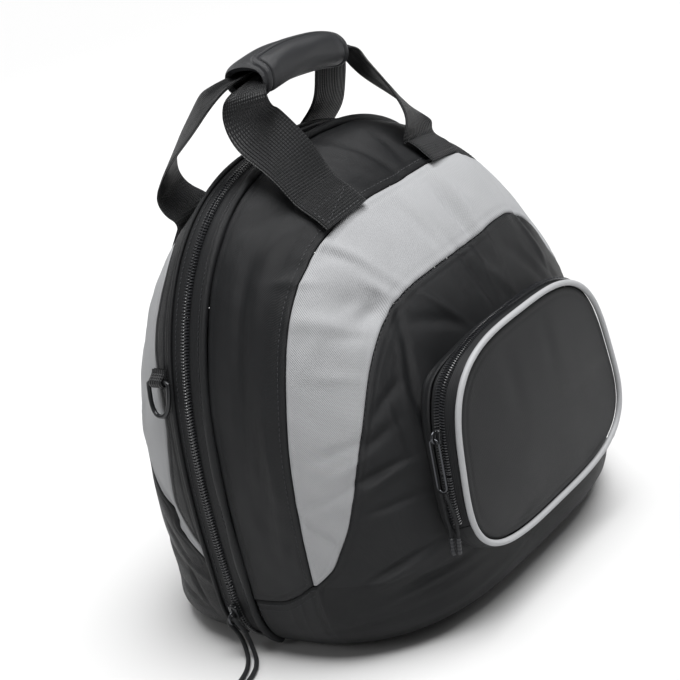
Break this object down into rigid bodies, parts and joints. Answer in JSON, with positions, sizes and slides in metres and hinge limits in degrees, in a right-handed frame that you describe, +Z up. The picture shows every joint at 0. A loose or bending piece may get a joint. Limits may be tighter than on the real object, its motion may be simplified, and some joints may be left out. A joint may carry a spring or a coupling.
{
  "type": "helmet bag",
  "caption": "Soft zipped carry bag for a full-face helmet, with a zipped front pocket, two webbing handles joined by a padded wrap, and a side D-ring.",
  "frame": {"origin": "the base mount: on the surface that the bag stands on, under the crown of the main zip's arch from side to side, and halfway between the front of the pocket and the back of the bag", "axes": "+Z up, +Y towards the back of the bag, +X along the main zip's arch from the side with the D-ring to the other side"},
  "size_m": [0.4326, 0.307, 0.4065],
  "materials": {
    "black_cloth": "matte plain-woven polyester",
    "grey_cloth": "matte plain-woven polyester, light grey",
    "black_webbing": "ribbed polypropylene webbing and tape",
    "black_nylon": "nylon zip coil, satin",
    "dark_metal": "black painted zinc, semi-gloss",
    "grey_piping": "light grey satin piping",
    "black_cord": "braided polyester cord",
    "black_plastic": "moulded cord end, satin"
  },
  "bodies": {
    "bag": {"front_side_panel": "black_cloth", "front_grey_band": "grey_cloth", "front_face_panel": "black_cloth", "back_side_panel": "black_cloth", "back_grey_band": "grey_cloth", "back_face_panel": "black_cloth", "base_panel": "black_cloth", "main_zip_tape_front": "black_webbing", "main_zip_tape_back": "black_webbing", "main_zip_coil": "black_nylon", "front_welt": "black_cloth", "back_welt": "black_cloth", "main_zip_slider": "dark_metal", "main_zip_bail": "dark_metal", "pocket_gusset": "black_cloth", "pocket_zip_tape": "black_webbing", "pocket_bottom_strip": "black_cloth", "pocket_zip_coil": "black_nylon", "pocket_piping": "grey_piping", "pocket_face": "black_cloth", "pocket_zip_slider": "dark_metal", "pocket_zip_bail": "dark_metal", "pocket_puller": "dark_metal", "main_pull_cord_a": "black_cord", "main_cord_end_a": "black_plastic", "main_pull_cord_b": "black_cord", "main_cord_end_b": "black_plastic", "pocket_pull_cord_a": "black_cord", "pocket_cord_end_a": "black_plastic", "pocket_pull_cord_b": "black_cord", "pocket_cord_end_b": "black_plastic", "front_handle_webbing": "black_webbing", "back_handle_webbing": "black_webbing", "handle_wrap": "black_cloth", "d_ring_tab": "black_webbing"},
    "ring": {"d_ring": "dark_metal"}
  },
  "joints": [
    {"name": "ring_swing", "type": "hinge", "parent": "bag", "child": "ring", "pos_m": [-0.16686, 0.0475, 0.21324], "axis": [0, 1, 0], "range_deg": [0, 140]}
  ]
}
